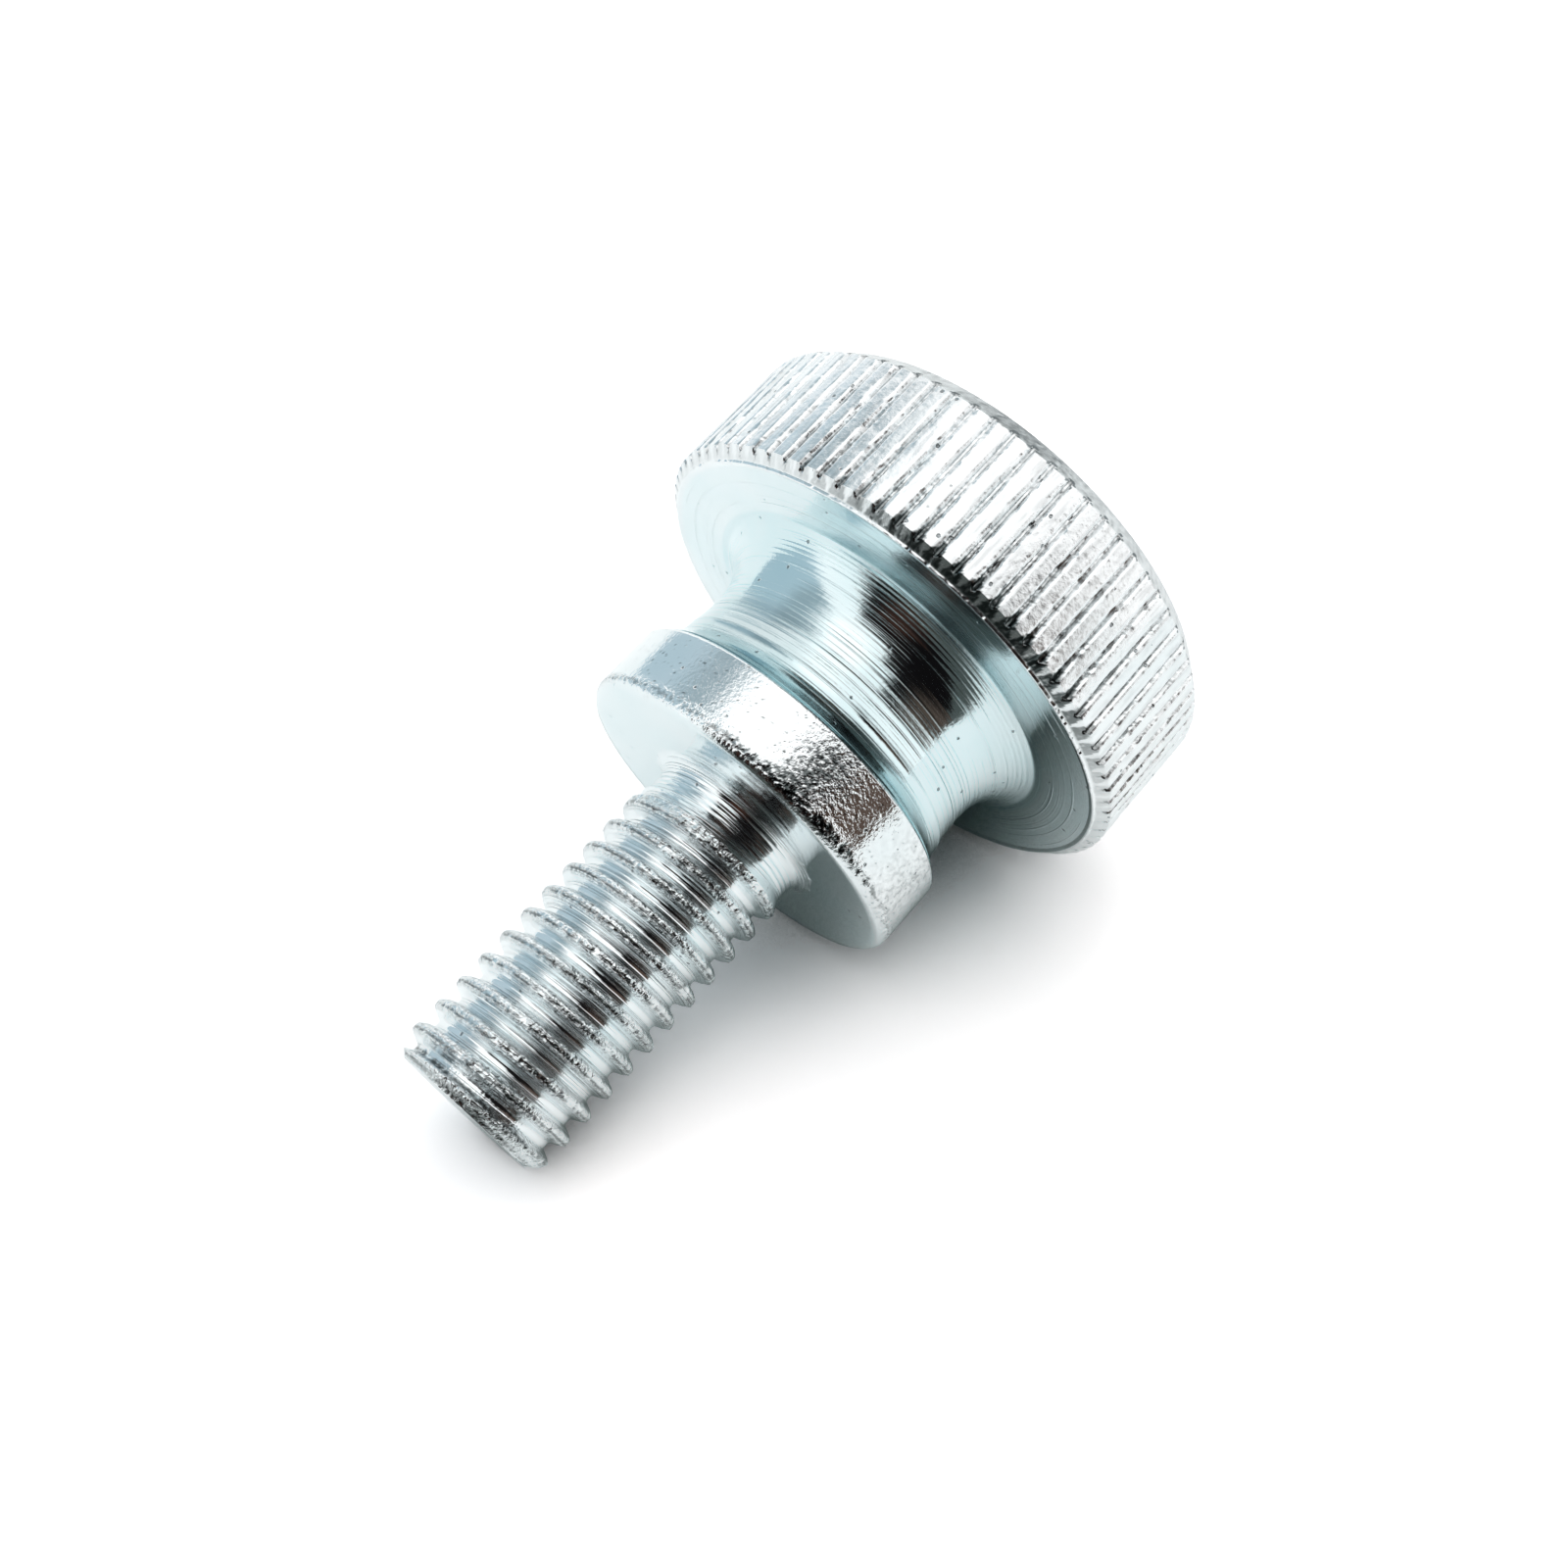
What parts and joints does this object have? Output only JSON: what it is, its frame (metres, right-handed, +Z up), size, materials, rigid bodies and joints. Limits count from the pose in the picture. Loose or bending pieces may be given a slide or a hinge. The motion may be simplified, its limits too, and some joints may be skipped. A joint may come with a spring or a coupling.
{
  "type": "thumb screw",
  "caption": "Knurled thumb screw with a waisted neck, a bearing collar and a short coarse metric thread, zinc plated, lying on its side.",
  "frame": {"origin": "centre of the bounding box in X and Y, at the surface that the screw lies on", "axes": "+X runs from the thread tip towards the head, seen from above; the screw's own axis lies in the XZ plane and rises 18.09 degrees towards the head; +Z is up"},
  "size_m": [0.0358, 0.0244, 0.025],
  "materials": {
    "zinc": "steel, blue-white zinc plate: smooth on the turned faces, rough and granular on the knurl crests, the collar's side and the thread crests"
  },
  "bodies": {
    "root": {"thumb_screw": "zinc"}
  },
  "joints": []
}
